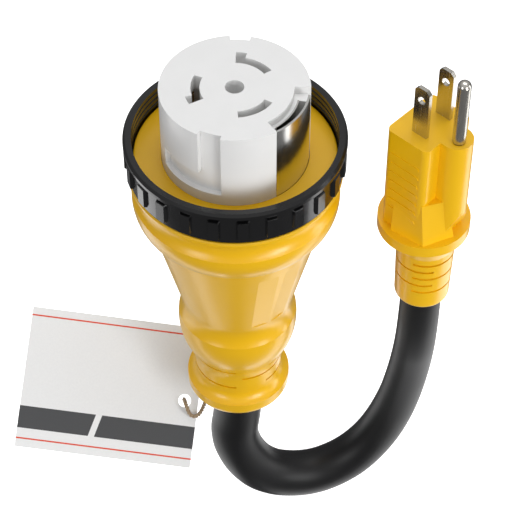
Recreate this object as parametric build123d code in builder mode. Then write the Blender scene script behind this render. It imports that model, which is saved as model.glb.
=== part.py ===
from build123d import *
import math
import os

# Short adapter lead: a 50 A locking connector on one end of a heavy round
# cable and a 15 A straight-blade plug on the other, with a card tag on twine.
#
# Frame: millimetres. The origin is the centre of the connector's front face,
# +Z points out of that face, and the connector hangs below it. The cable
# leaves the connector's boot downwards, turns back up in a J and ends in the
# plug, whose blades also point along +Z.

# ---------------------------------------------------------------------------
# Driving dimensions
# ---------------------------------------------------------------------------

FIT = 0.1                    # clearance between pieces that seat in each other
GAP = 0.4                    # clearance between pieces that move past each other

# Connector nose
NOSE_R = 26.0
NOSE_HEIGHT = 31.0           # face to the yellow retainer disc
NOSE_LENGTH = 50.0
NOSE_FOOT_R = 29.0
NOSE_FOOT_T = 6.0
PILOT_R = 3.35
PILOT_DEPTH = 24.0

# Contact slots in the nose: an arc for each blade of the mating inlet
SLOT_R_IN = 11.9
SLOT_R_OUT = 15.0
SLOT_LIP = 6.0               # depth of the slot before the contact chamber
KEY_R_OUT = 17.4             # outward foot of the two hot slots
KEY_SPAN = 13.0
KEY_DEPTH = 5.0
SLOT_ARCS = {"x": (33.0, 89.0), "y": (157.0, 209.0), "neutral": (275.0, 329.0)}
KEYED = ("x", "y")

# Contacts: two spring leaves on a base, a tail and a crimp barrel
LEAF_T = 0.6
LEAF_CLEAR = 0.3             # free space behind each leaf
LEAF_TOP = -8.0
LEAF_END_CLEAR = 3.0         # degrees past the slot that the chamber runs
TAIL_W = 6.0
TAIL_T = 0.9
BARREL_R = 2.9
BARREL_LENGTH = 8.0

# Ground contact at the rim of the nose
GROUND_START = -57.0
GROUND_END = 0.0
GROUND_R_IN = 20.3
GROUND_DEPTH = 3.2
SHELL_T = 0.8
SHELL_START = -57.0
SHELL_END = -8.0
POCKET_R_IN = 21.7
POCKET_DEPTH = 28.0
CLIP_T = 0.6
CLIP_TOP = -2.4
GROUND_TAIL_R = 18.5
GROUND_TAIL_ANGLE = -30.0

# Bayonet grooves down the side of the nose
GROOVE_DEPTH = 2.0
GROOVE_TOP = -18.3
GROOVE_BOTTOM = -26.5
GROOVES = ((242.0, 260.0, 203.0), (78.0, 94.0, 39.0))

# Terminal block behind the nose, and its three screws
BLOCK_R = 26.0
BLOCK_T = 8.0
SCREW_PCR = 21.0
SCREW_ANGLES = (25.0, 122.0, 238.0)
SCREW_R = 1.5
SCREW_HEAD_R = 2.75
SCREW_HEAD_T = 2.2
SCREW_GRIP = 11.0            # thread in the nose
BRIDGE_T = 1.0

# Lock ring and the disc that keeps it on
RING_R = 39.3
RING_WALL_R = 38.1
RING_TOP = -22.3
RING_HEIGHT = 15.0
RING_BORE_R = 36.3
RING_RIM_T = 2.2
RING_LIP_T = 2.7
RIB_COUNT = 24
RIB_W = 5.2
RIB_HEIGHT = 9.7
RIB_R = 39.2
RIB_PHASE = -85.7
RIB_DRAFT = 22.0             # slope of a rib's sides, degrees
THREAD_PITCH = 2.4
THREAD_DEPTH = 0.45
RETAINER_T = 3.2

# Connector body
FLANGE_R = 38.2
FLANGE_LIP_R = 37.3
FLANGE_COVE_R = 35.5
FLANGE_LIP_DROP = 10.7       # top of the flange to its lower lip
BOWL_DROP = 14.0             # lower lip to the top of the cone
CONE_TOP_R = 31.4
CONE_END_R = 21.4
CONE_LENGTH = 41.5
COLLAR_R = 22.6
COLLAR_LENGTH = 27.1
BODY_END_R = 19.4
FLAT_WIDTH = 9.0
FLAT_DEPTH = 0.75
FLAT_ANGLES = (-66.5, -46.0, 113.5, 134.0)
CAVITY_TOP_R = 25.0
CAVITY_MID_R = 22.5
CAVITY_MID_DROP = 15.0
CAVITY_DROP = 38.0
SPIGOT_R = 14.0

# Boots and cable
CABLE_R = 8.75
BOOT_R = 16.9
BOOT_LIP_R = 20.0
BOOT_LENGTH = 27.0
BOOT_LIP_T = 6.5
SLOT_CUT = 0.9               # width and depth of the flex slots in a boot
# Flex slots of the connector's boot: drop below the body, radius of the boot
# there, and the angles that the slot runs between
CONNECTOR_SLOTS = (
    (2.5, 18.1, 182.0, 268.0), (2.5, 18.1, -50.0, 32.0),
    (7.7, 16.9, -84.0, -12.0), (7.7, 16.9, 96.0, 168.0),
    (13.0, 16.9, 182.0, 268.0), (13.0, 16.9, -50.0, 32.0),
)
JACKET_INSIDE = 28.0         # jacket inside the connector's boot
PLUG_JACKET_INSIDE = 20.0

# Plug
PLUG_X = 70.2
PLUG_Y = -3.1
PLUG_FACE = -16.8
PLUG_TURN = 46.6             # turn of the blade line about +Z, degrees
CORD_X = 69.2                # axis of the plug's boot and of the cable in it
CORD_Y = -3.6
PLUG_LENGTH = 83.0
PLUG_BODY_X = 24.4
PLUG_BODY_SHIFT = -0.2       # block's middle, across the blades
PLUG_BODY_BACK = 13.3
PLUG_BODY_FRONT = 5.0
PLUG_BOSS_X = 0.9
PLUG_BOSS_R = 5.9
PLUG_BOSS_REACH = 13.3
PLUG_BODY_LENGTH = 45.0
PLUG_CORNER_R = 2.4
GUARD_R = 16.9
GUARD_AT = (-1.2, 2.3)       # guard's middle from the boot's axis, in X and Y
GUARD_T = 4.6
NECK_R = 12.6
NECK_LENGTH = 6.5
# Corners of the plug's chin at its two ends, from the boot's axis
CHIN_TOP = [(-12.6, -2.6), (-3.9, -11.2), (5.5, -8.4), (0.0, 0.0)]
CHIN_END = [(-14.0, -6.0), (-2.2, -14.4), (9.6, -8.8), (0.0, 0.0)]
CHIN_START = 27.0            # face to the start of the chin
PLUG_BOOT_R = 10.6
PLUG_BOOT_END_R = 10.2
PLUG_SLOT_COUNT = 5
PLUG_SLOT_DROP = 3.05        # neck's end to the middle of the first slot
PLUG_SLOT_PITCH = 3.7
PLUG_SLOT_STARTS = (-118.0, -205.0)
PLUG_SLOT_SPAN = 130.0
GRIP_RIBS = 7
GRIP_PITCH = 4.4
GRIP_PROUD = 0.3
GRIP_LENGTH = 13.0

BLADE_SPACING = 12.7
BLADE_W = 6.35
BLADE_T = 1.52
BLADE_LENGTH = 21.3
BLADE_HOLE_R = 1.6
BLADE_HOLE_DROP = 5.2
GROUND_PIN_R = 2.4
GROUND_SHANK_R = 2.1         # the pin's narrower part inside the carrier
GROUND_PIN_LENGTH = 27.8
GROUND_PIN_ROOT = 0.4        # the pin's full width starts this far off the face
GROUND_PIN_DIMPLE = 0.3      # dimple in the face round the pin
GROUND_PIN_OFFSET = 11.9
BLADE_LINE_Y = 3.0
CARRIER_X = 19.4
CARRIER_Y_BACK = 8.6
CARRIER_Y_FRONT = 3.4
CARRIER_TONGUE_R = 3.7
CARRIER_T = 11.0
FACE_SKIN = 2.0              # overmould in front of the carrier
PLUG_BARREL_R = 2.6
PLUG_BARREL_DROP = 22.0      # face to the mouth of the crimps
PLUG_SPREAD_Z = -50.0        # where the plug's wires part, below its face
PLUG_WIRE_BORE_R = 6.7

# Conductors
WIRE_R = 2.4
CORE_R = 1.5
WIRE_CIRCLE_R = 3.6
WIRE_ANGLES = {"hot": 85.0, "neutral": 215.0, "ground": 335.0}
WIRE_BEND_R = 5.0

# Hang tag and twine
TAG_W = 71.0
TAG_H = 56.5
TAG_T = 0.6
TAG_HOLE_R = 2.6
TAG_HOLE_EDGE = 5.6          # hole centre to the right-hand edge
TAG_HOLE_LIFT = -1.6         # hole centre above the card's middle
TAG_CENTRE = (-51.3, 1.6, -167.2)
TAG_X_DIR = (0.989, -0.054, -0.138)
TAG_NORMAL = (0.076, -0.613, 0.786)
TWINE_R = 0.85

# Cable route from the connector's boot to the plug's boot. Each point is a
# corner of the straight runs that the arcs round off.
CABLE_ROUTE = [
    (0.0, 0.0, -158.0),
    (0.0, 0.0, -175.5),
    (-3.0, -3.0, -195.0),
    (8.0, -3.0, -218.0),
    (27.5, 0.5, -226.0),
    (44.5, 4.5, -221.0),
    (57.0, 7.5, -207.0),
    (65.0, 8.0, -184.5),
    (68.5, 4.0, -155.0),
    (69.2, -3.6, -124.0),
    (69.2, -3.6, -99.8),
]

# Twine: through the card's hole, across to the cable and once round it.
TWINE_ROUTE = [
    (-22.4, 2.6, -176.3),
    (-21.5, -4.6, -168.5),
    (-19.6, -8.4, -173.9),
    (-15.6, -6.6, -175.2),
    (-12.0, 3.6, -176.2),
    (-1.0, 12.5, -173.0),
    (10.2, 7.2, -169.0),
    (11.3, -5.2, -165.0),
    (1.0, -12.5, -161.6),
    (-7.6, -8.8, -160.4),
]

# ---------------------------------------------------------------------------
# Places that follow from the sizes
# ---------------------------------------------------------------------------

RETAINER_TOP = -NOSE_HEIGHT
RETAINER_BOTTOM = RETAINER_TOP - RETAINER_T
RETAINER_R = RING_BORE_R - GAP
RING_BOTTOM = RING_TOP - RING_HEIGHT
RING_LIP_R = RING_BORE_R - 2.7
COLLAR_NECK_R = RING_LIP_R - GAP
FLANGE_TOP = RING_BOTTOM - GAP
FLANGE_LIP_Z = FLANGE_TOP - FLANGE_LIP_DROP
CONE_TOP_Z = FLANGE_LIP_Z - BOWL_DROP
CONE_END_Z = CONE_TOP_Z - CONE_LENGTH
BODY_END_Z = CONE_END_Z - COLLAR_LENGTH
BOOT_END_Z = BODY_END_Z - BOOT_LENGTH

SHELL_R_IN = NOSE_R - SHELL_T
CHAMBER_R_IN = SLOT_R_IN - LEAF_T - 2 * LEAF_CLEAR
CHAMBER_R_OUT = SLOT_R_OUT + LEAF_T + 2 * LEAF_CLEAR
TAIL_R = (SLOT_R_IN + SLOT_R_OUT) / 2
BASE_Z = -NOSE_LENGTH + 1.0
BLOCK_TOP = -NOSE_LENGTH - FIT
BLOCK_BOTTOM = BLOCK_TOP - BLOCK_T
BARREL_TOP = BLOCK_BOTTOM - 8.0
BARREL_MOUTH = BARREL_TOP - BARREL_LENGTH
CAVITY_TOP = BLOCK_BOTTOM - 2.6
CAVITY_MID = CAVITY_TOP - CAVITY_MID_DROP
CAVITY_END = CAVITY_TOP - CAVITY_DROP
CABLE_END_Z = BOOT_END_Z + JACKET_INSIDE

plug_plane = Plane(
    origin=(PLUG_X, PLUG_Y, PLUG_FACE),
    x_dir=(math.cos(math.radians(PLUG_TURN)), math.sin(math.radians(PLUG_TURN)), 0),
    z_dir=(0, 0, 1),
)
boot_plane = Plane(origin=(CORD_X, CORD_Y, PLUG_FACE))
tag_plane = Plane(origin=TAG_CENTRE, x_dir=TAG_X_DIR, z_dir=TAG_NORMAL)

PLUG_JACKET_END = -PLUG_LENGTH + PLUG_JACKET_INSIDE
PLUG_BARREL_MOUTH = -PLUG_BARREL_DROP - BARREL_LENGTH
TAIL_DROP = -FACE_SKIN - CARRIER_T - 2.0
GROUND_PIN_Y = BLADE_LINE_Y - GROUND_PIN_OFFSET
GUARD_TOP = -PLUG_BODY_LENGTH
NECK_END = GUARD_TOP - GUARD_T - NECK_LENGTH


def polar(radius, degrees):
    """The point at a radius and an angle from the X axis."""
    angle = math.radians(degrees)
    return radius * math.cos(angle), radius * math.sin(angle)


def sector_prism(r_in, r_out, start, end, top, bottom, mode=Mode.ADD, plane=Plane.XY):
    """A ring sector between two heights, added to or cut from the open part."""
    with BuildSketch(plane.offset(top)) as sector:
        with BuildLine():
            CenterArc((0, 0), r_in, start, end - start)
            Line(polar(r_in, end), polar(r_out, end))
            CenterArc((0, 0), r_out, start, end - start)
            Line(polar(r_in, start), polar(r_out, start))
        make_face()
    extrude(sector.sketch, amount=bottom - top, mode=mode)


def rod(radius, top, bottom, mode=Mode.ADD, plane=Plane.XY, at=(0, 0)):
    """A cylinder between two heights, added to or cut from the open part."""
    with Locations(plane * Location((*at, bottom))):
        Cylinder(radius, top - bottom, align=(Align.CENTER, Align.CENTER, Align.MIN), mode=mode)


def bar(width, depth, top, bottom, mode=Mode.ADD, plane=Plane.XY, at=(0, 0)):
    """A block between two heights, added to or cut from the open part."""
    with Locations(plane * Location((*at, bottom))):
        Box(width, depth, top - bottom, align=(Align.CENTER, Align.CENTER, Align.MIN), mode=mode)


def spoke(radius, angle):
    """The plane at a radius and an angle, its X axis along the circle."""
    return Plane(origin=(*polar(radius, angle), 0), x_dir=(*polar(1, angle + 90), 0), z_dir=(0, 0, 1))


def corner_radii(points):
    """0.45 of the shorter run over the tangent of half the turn, per corner."""
    corners = [Vector(*point) for point in points]
    radii = []
    for before, corner, after in zip(corners, corners[1:], corners[2:]):
        arriving, leaving = corner - before, after - corner
        turn = math.radians(arriving.get_angle(leaving))
        shorter = min(arriving.length, leaving.length)
        radii.append(0.45 * shorter / math.tan(turn / 2))
    return radii


def check_tube(name, tube, radius, length):
    """Print a tube's volume beside its section times its length."""
    expected = math.pi * radius**2 * length
    print(f"{name}: length {length:.1f}, volume {tube.volume:.0f}, section x length {expected:.0f}")


# ---------------------------------------------------------------------------
# Connector nose
# ---------------------------------------------------------------------------

# White nylon housing: slots for the inlet's blades, a pilot hole, a stepped
# recess for the ground contact and two bayonet grooves in its side.
with BuildPart() as contact_housing:
    rod(NOSE_R, 0, -NOSE_LENGTH)
    rod(NOSE_FOOT_R, -NOSE_LENGTH + NOSE_FOOT_T, -NOSE_LENGTH)
    rod(PILOT_R, 0, -PILOT_DEPTH, mode=Mode.SUBTRACT)
    for name, (start, end) in SLOT_ARCS.items():
        sector_prism(SLOT_R_IN, SLOT_R_OUT, start, end, 0, -SLOT_LIP, Mode.SUBTRACT)
        sector_prism(
            CHAMBER_R_IN, CHAMBER_R_OUT, start - LEAF_END_CLEAR, end + LEAF_END_CLEAR,
            -SLOT_LIP, -NOSE_LENGTH, Mode.SUBTRACT,
        )
        if name in KEYED:
            sector_prism(SLOT_R_OUT - 0.5, KEY_R_OUT, end - KEY_SPAN, end, 0, -KEY_DEPTH, Mode.SUBTRACT)
    sector_prism(
        GROUND_R_IN, NOSE_R + 1, GROUND_START, GROUND_END, 0, -GROUND_DEPTH, Mode.SUBTRACT
    )
    sector_prism(
        SHELL_R_IN, NOSE_R + 1, SHELL_START, SHELL_END, 0, -NOSE_LENGTH + NOSE_FOOT_T,
        Mode.SUBTRACT,
    )
    sector_prism(
        SHELL_R_IN, NOSE_R, SHELL_START, SHELL_END, -NOSE_LENGTH + NOSE_FOOT_T, -NOSE_LENGTH,
        Mode.SUBTRACT,
    )
    sector_prism(
        POCKET_R_IN, SHELL_R_IN, SHELL_START + 5, SHELL_END - 1, 0, -POCKET_DEPTH, Mode.SUBTRACT
    )
    sector_prism(
        POCKET_R_IN, POCKET_R_IN + CLIP_T, SHELL_START + 6, SHELL_END - 2,
        -POCKET_DEPTH, -NOSE_LENGTH, Mode.SUBTRACT,
    )
    for start, end, far_end in GROOVES:
        sector_prism(
            NOSE_R - GROOVE_DEPTH, NOSE_R + 1, start, end, 0, GROOVE_BOTTOM, Mode.SUBTRACT
        )
        sector_prism(
            NOSE_R - GROOVE_DEPTH, NOSE_R + 1, far_end, end, GROOVE_TOP, GROOVE_BOTTOM, Mode.SUBTRACT
        )
    for angle in SCREW_ANGLES:
        rod(
            SCREW_R, -NOSE_LENGTH + SCREW_GRIP + 1, -NOSE_LENGTH, Mode.SUBTRACT,
            at=polar(SCREW_PCR, angle),
        )


def spring_contact(start, end):
    """Two leaves on a base plate, a tail through the block and a crimp barrel."""
    middle = (start + end) / 2
    inner_leaf = SLOT_R_IN - LEAF_CLEAR - LEAF_T
    outer_leaf = SLOT_R_OUT + LEAF_CLEAR
    sector_prism(inner_leaf, inner_leaf + LEAF_T, start, end, LEAF_TOP, BASE_Z)
    sector_prism(outer_leaf, outer_leaf + LEAF_T, start, end, LEAF_TOP, BASE_Z)
    sector_prism(inner_leaf, outer_leaf + LEAF_T, start, end, BASE_Z, BASE_Z - LEAF_T)
    tail(TAIL_R, middle, BASE_Z - LEAF_T)


def tail(radius, angle, top):
    """A flat tail from a height down to a crimp barrel, in the open part."""
    spot = spoke(radius, angle)
    bar(TAIL_W, TAIL_T, top, BARREL_TOP, plane=spot)
    rod(BARREL_R, BARREL_TOP, BARREL_MOUTH, plane=spot)
    rod(CORE_R, BARREL_TOP - 1, BARREL_MOUTH, Mode.SUBTRACT, plane=spot)


with BuildPart() as contact_x:
    spring_contact(*SLOT_ARCS["x"])

with BuildPart() as contact_y:
    spring_contact(*SLOT_ARCS["y"])

with BuildPart() as contact_neutral:
    spring_contact(*SLOT_ARCS["neutral"])

# Ground: a plated shell flush with the side of the nose, and a clip inside
# the slot that carries the tail.
with BuildPart() as ground_shell:
    sector_prism(
        SHELL_R_IN, NOSE_R - 0.02, SHELL_START + 0.2, SHELL_END - 0.2, -0.3, -NOSE_LENGTH
    )

with BuildPart() as ground_clip:
    sector_prism(
        POCKET_R_IN + 0.02, POCKET_R_IN + CLIP_T - 0.02, SHELL_START + 6.3, SHELL_END - 2.3,
        CLIP_TOP, BLOCK_TOP,
    )
    sector_prism(
        GROUND_TAIL_R - 1.5, NOSE_R - 0.6, SHELL_START + 8, SHELL_END - 4,
        BLOCK_TOP, BLOCK_TOP - LEAF_T,
    )
    tail(GROUND_TAIL_R, GROUND_TAIL_ANGLE, BLOCK_TOP - LEAF_T)

# Terminal block: carries the tails and closes the back of the nose.
TAIL_PLACES = [(TAIL_R, sum(arc) / 2) for arc in SLOT_ARCS.values()]
TAIL_PLACES.append((GROUND_TAIL_R, GROUND_TAIL_ANGLE))


def tail_slots(top, bottom):
    """Cut a slot for each tail from the open part."""
    for place in TAIL_PLACES:
        bar(TAIL_W + 2 * FIT, TAIL_T + 2 * FIT, top, bottom, Mode.SUBTRACT, plane=spoke(*place))


with BuildPart() as terminal_block:
    rod(BLOCK_R, BLOCK_TOP, BLOCK_BOTTOM)
    sector_prism(
        GROUND_TAIL_R - 1.7, BLOCK_R + 1, SHELL_START + 7, SHELL_END - 3,
        BLOCK_TOP, BLOCK_TOP - LEAF_T - FIT, Mode.SUBTRACT,
    )
    tail_slots(BLOCK_TOP, BLOCK_BOTTOM)
    for angle in SCREW_ANGLES:
        rod(SCREW_R + 0.2, BLOCK_TOP, BLOCK_BOTTOM, Mode.SUBTRACT, at=polar(SCREW_PCR, angle))

# Strap that joins the two hot contacts, since the plug has one hot blade.
with BuildPart() as hot_bridge:
    sector_prism(
        SLOT_R_IN, SLOT_R_OUT + 0.6, sum(SLOT_ARCS["x"]) / 2 - 17, sum(SLOT_ARCS["y"]) / 2 + 17,
        BLOCK_BOTTOM - FIT, BLOCK_BOTTOM - FIT - BRIDGE_T,
    )
    tail_slots(BLOCK_BOTTOM, BLOCK_BOTTOM - 2 * BRIDGE_T)

# Three pan-head screws that clamp the block to the nose.
with BuildPart() as housing_screws:
    for angle in SCREW_ANGLES:
        spot = spoke(SCREW_PCR, angle)
        head_end = BLOCK_BOTTOM - SCREW_HEAD_T
        rod(SCREW_HEAD_R, BLOCK_BOTTOM, head_end, plane=spot)
        rod(SCREW_R - 0.02, -NOSE_LENGTH + SCREW_GRIP, BLOCK_BOTTOM, plane=spot)
        bar(3.0, 0.7, head_end + 1.2, head_end, Mode.SUBTRACT, plane=spot)
        bar(0.7, 3.0, head_end + 1.2, head_end, Mode.SUBTRACT, plane=spot)
    fillet(housing_screws.edges().group_by(Axis.Z)[0].filter_by(GeomType.CIRCLE), radius=0.7)

# ---------------------------------------------------------------------------
# Connector body, lock ring and boot
# ---------------------------------------------------------------------------

# Yellow overmould: a flange under the ring, a bowl, a cone with finger flats
# and a round collar, hollow for the block, the tails and the wires.
with BuildPart() as connector_body:
    with BuildSketch(Plane.XZ):
        with BuildLine():
            flange_side = [
                (0, RETAINER_BOTTOM),
                (COLLAR_NECK_R, RETAINER_BOTTOM),
                (COLLAR_NECK_R, FLANGE_TOP),
                (FLANGE_R - 0.5, FLANGE_TOP),
                (FLANGE_R, FLANGE_TOP - 0.5),
                (FLANGE_R, FLANGE_TOP - 1.3),
            ]
            Polyline(*flange_side)
            ThreePointArc(
                (FLANGE_R, FLANGE_TOP - 1.3),
                (FLANGE_COVE_R, (FLANGE_TOP + FLANGE_LIP_Z) / 2 - 0.5),
                (FLANGE_LIP_R, FLANGE_LIP_Z),
            )
            ThreePointArc(
                (FLANGE_LIP_R, FLANGE_LIP_Z),
                (FLANGE_LIP_R - 1.0, FLANGE_LIP_Z - 0.53 * BOWL_DROP),
                (CONE_TOP_R, CONE_TOP_Z),
            )
            Line((CONE_TOP_R, CONE_TOP_Z), (CONE_END_R, CONE_END_Z))
            ThreePointArc(
                (CONE_END_R, CONE_END_Z),
                (CONE_END_R - 0.6, CONE_END_Z - 4.4),
                (COLLAR_R - 0.2, CONE_END_Z - 9.6),
            )
            Spline(
                (COLLAR_R - 0.2, CONE_END_Z - 9.6),
                (COLLAR_R, CONE_END_Z - 14.5),
                (COLLAR_R - 0.9, CONE_END_Z - 21.0),
                (BODY_END_R, BODY_END_Z),
            )
            Polyline((BODY_END_R, BODY_END_Z), (0, BODY_END_Z), (0, RETAINER_BOTTOM))
        make_face()
    revolve(axis=Axis.Z)
    # finger flats along the cone
    slope = math.degrees(math.atan2(CONE_TOP_R - CONE_END_R, CONE_LENGTH))
    for angle in FLAT_ANGLES:
        middle_r = (CONE_TOP_R + CONE_END_R) / 2
        middle_z = (CONE_TOP_Z + CONE_END_Z) / 2 - 2
        outward = Vector(*polar(math.cos(math.radians(slope)), angle), -math.sin(math.radians(slope)))
        flat = Plane(
            origin=(*polar(middle_r - FLAT_DEPTH, angle), middle_z),
            x_dir=(*polar(1, angle + 90), 0),
            z_dir=tuple(outward),
        )
        with BuildSketch(flat):
            Rectangle(FLAT_WIDTH, CONE_LENGTH - 6)
        extrude(amount=5, mode=Mode.SUBTRACT)
    # hollow
    rod(NOSE_R + FIT, RETAINER_BOTTOM, -NOSE_LENGTH + NOSE_FOOT_T, Mode.SUBTRACT)
    rod(NOSE_FOOT_R + FIT, -NOSE_LENGTH + NOSE_FOOT_T, BLOCK_TOP, Mode.SUBTRACT)
    rod(BLOCK_R + FIT, BLOCK_TOP, CAVITY_TOP, Mode.SUBTRACT)
    with BuildSketch(Plane.XZ):
        with BuildLine():
            Polyline(
                (0, CAVITY_TOP),
                (CAVITY_TOP_R, CAVITY_TOP),
                (CAVITY_MID_R, CAVITY_MID),
                (SPIGOT_R + FIT, CAVITY_END),
                (SPIGOT_R + FIT, BODY_END_Z),
                (0, BODY_END_Z),
                close=True,
            )
        make_face()
    revolve(axis=Axis.Z, mode=Mode.SUBTRACT)
    # seat for the retainer's spigot
    with BuildSketch(Plane.XY.offset(RETAINER_BOTTOM)):
        Circle(COLLAR_NECK_R - 2.4 + FIT)
        Circle(COLLAR_NECK_R - 4.4 - FIT, mode=Mode.SUBTRACT)
    extrude(amount=-3.2, mode=Mode.SUBTRACT)

# Disc round the foot of the nose: it holds the lock ring on the body.
with BuildPart() as ring_retainer:
    rod(RETAINER_R, RETAINER_TOP, RETAINER_BOTTOM)
    top_edge = ring_retainer.edges().group_by(Axis.Z)[-1].sort_by(SortBy.LENGTH)[-1]
    fillet(top_edge, radius=0.6)
    with BuildSketch(Plane.XY.offset(RETAINER_BOTTOM)):
        Circle(COLLAR_NECK_R - 2.4)
        Circle(COLLAR_NECK_R - 4.4, mode=Mode.SUBTRACT)
    extrude(amount=-3.0)
    rod(NOSE_R + FIT, RETAINER_TOP, RETAINER_BOTTOM - 4, Mode.SUBTRACT)

# Black threaded ring with a rim, a recessed band and upright ribs.
with BuildPart() as lock_ring:
    with BuildSketch(Plane.XZ):
        with BuildLine():
            Polyline(
                (RING_BORE_R, RING_TOP),
                (RING_R - 0.9, RING_TOP),
                (RING_R, RING_TOP - 0.9),
                (RING_R, RING_TOP - RING_RIM_T),
                (RING_WALL_R, RING_TOP - RING_RIM_T - 0.8),
                (RING_WALL_R, RING_BOTTOM + 0.6),
                (RING_WALL_R - 0.6, RING_BOTTOM),
                (RING_LIP_R, RING_BOTTOM),
                (RING_LIP_R, RING_BOTTOM + RING_LIP_T),
                (RING_BORE_R, RING_BOTTOM + RING_LIP_T),
                close=True,
            )
        make_face()
    revolve(axis=Axis.Z)
    rib_middle = (RING_TOP - RING_RIM_T - 0.3 + RING_BOTTOM + 0.8) / 2
    for i in range(RIB_COUNT):
        angle = RIB_PHASE + i * 360 / RIB_COUNT
        face = Plane(
            origin=(*polar(RING_WALL_R - 0.8, angle), rib_middle),
            x_dir=(*polar(1, angle + 90), 0),
            z_dir=(*polar(1, angle), 0),
        )
        with BuildSketch(face):
            RectangleRounded(RIB_W, RIB_HEIGHT, 1.0)
        extrude(amount=RIB_R - RING_WALL_R + 0.8, taper=RIB_DRAFT)
    for i in range(3):
        groove_z = RING_TOP - 2.0 - i * THREAD_PITCH
        with BuildSketch(Plane.XZ):
            with BuildLine():
                Polyline(
                    (RING_BORE_R - 0.2, groove_z + 0.7),
                    (RING_BORE_R + THREAD_DEPTH, groove_z),
                    (RING_BORE_R - 0.2, groove_z - 0.7),
                    close=True,
                )
            make_face()
        revolve(axis=Axis.Z, mode=Mode.SUBTRACT)


def flex_slot(radius, middle, start, end, plane=Plane.XY):
    """Cut one part-round flex slot into the boot in the open part."""
    sector_prism(
        radius - SLOT_CUT, radius + 3, start, end,
        middle + SLOT_CUT / 2, middle - SLOT_CUT / 2, Mode.SUBTRACT, plane,
    )


# Boot of the connector: a spigot inside the body, a slotted sleeve and a lip.
with BuildPart() as connector_boot:
    with BuildSketch(Plane.XZ):
        with BuildLine():
            Polyline(
                (0, CAVITY_END),
                (SPIGOT_R, CAVITY_END),
                (SPIGOT_R, BODY_END_Z),
                (BODY_END_R, BODY_END_Z),
            )
            ThreePointArc(
                (BODY_END_R, BODY_END_Z),
                (BOOT_R + 0.55, BODY_END_Z - 4.8),
                (BOOT_R, BODY_END_Z - 8.5),
            )
            Line((BOOT_R, BODY_END_Z - 8.5), (BOOT_R, BOOT_END_Z + BOOT_LIP_T + 5.0))
            ThreePointArc(
                (BOOT_R, BOOT_END_Z + BOOT_LIP_T + 5.0),
                (BOOT_R + 0.5, BOOT_END_Z + BOOT_LIP_T + 2.2),
                (BOOT_LIP_R, BOOT_END_Z + BOOT_LIP_T),
            )
            Line((BOOT_LIP_R, BOOT_END_Z + BOOT_LIP_T), (BOOT_LIP_R, BOOT_END_Z + 3.0))
            ThreePointArc(
                (BOOT_LIP_R, BOOT_END_Z + 3.0),
                (BOOT_LIP_R - 0.9, BOOT_END_Z + 0.9),
                (BOOT_LIP_R - 3.0, BOOT_END_Z),
            )
            Polyline((BOOT_LIP_R - 3.0, BOOT_END_Z), (0, BOOT_END_Z), (0, CAVITY_END))
        make_face()
    revolve(axis=Axis.Z)
    for drop, radius, start, end in CONNECTOR_SLOTS:
        flex_slot(radius, BODY_END_Z - drop, start, end)
    rod(CABLE_R, CAVITY_END, BOOT_END_Z, Mode.SUBTRACT)

# ---------------------------------------------------------------------------
# Cable, jacket ends and conductors
# ---------------------------------------------------------------------------

cable_radii = corner_radii(CABLE_ROUTE)
print("cable radii:", [round(radius, 1) for radius in cable_radii])

with BuildPart() as cable:
    with BuildLine():
        cable_path = FilletPolyline(*CABLE_ROUTE, radius=cable_radii)
    with BuildSketch(Plane(origin=cable_path @ 0, z_dir=cable_path % 0)):
        Circle(CABLE_R)
    sweep()
check_tube("cable", cable.part, CABLE_R, cable_path.length)

# The two stripped ends of the jacket, inside the boots.
with BuildPart() as jacket_ends:
    rod(CABLE_R, CABLE_END_Z, BOOT_END_Z)
    rod(CABLE_R, PLUG_JACKET_END, -PLUG_LENGTH, plane=boot_plane)


def wire(points, radius, mode=Mode.ADD):
    """A round wire along straight runs with rounded corners, in the open part."""
    with BuildLine() as run:
        FilletPolyline(*points, radius=WIRE_BEND_R)
    with BuildSketch(Plane(origin=run.line @ 0, z_dir=run.line % 0)) as section:
        Circle(radius)
    sweep(section.sketch, path=run.line, mode=mode)


CONNECTOR_ENDS = {
    "hot": polar(TAIL_R, sum(SLOT_ARCS["x"]) / 2),
    "neutral": polar(TAIL_R, sum(SLOT_ARCS["neutral"]) / 2),
    "ground": polar(GROUND_TAIL_R, GROUND_TAIL_ANGLE),
}
PLUG_ENDS = {
    "hot": (BLADE_SPACING / 2, BLADE_LINE_Y),
    "neutral": (-BLADE_SPACING / 2, BLADE_LINE_Y),
    "ground": (0.0, GROUND_PIN_Y),
}
PLUG_WIRE_ANGLES = {"hot": 76.6, "neutral": 196.6, "ground": 316.6}


def connector_run(name):
    """Corners of a conductor from the stripped jacket to its crimp."""
    start = polar(WIRE_CIRCLE_R, WIRE_ANGLES[name])
    end = CONNECTOR_ENDS[name]
    return [
        (*start, CABLE_END_Z),
        (*start, CAVITY_END + 2.0),
        (*end, BARREL_MOUTH - 4.0),
        (*end, BARREL_MOUTH - 2.0),
    ]


def plug_run(name):
    """Corners of the same conductor at the plug end."""
    start = polar(WIRE_CIRCLE_R, PLUG_WIRE_ANGLES[name])
    end = PLUG_ENDS[name]
    return [
        boot_plane.from_local_coords(Vector(*start, PLUG_JACKET_END)),
        boot_plane.from_local_coords(Vector(*start, PLUG_SPREAD_Z)),
        plug_plane.from_local_coords(Vector(*end, PLUG_BARREL_MOUTH - 4.0)),
        plug_plane.from_local_coords(Vector(*end, PLUG_BARREL_MOUTH - 1.5)),
    ]


def conductor(name):
    """Both stripped-back ends of one insulated conductor, in the open part."""
    wire(connector_run(name), WIRE_R)
    wire(plug_run(name), WIRE_R)


with BuildPart() as hot_wire:
    conductor("hot")

with BuildPart() as neutral_wire:
    conductor("neutral")

with BuildPart() as ground_wire:
    conductor("ground")

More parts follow.
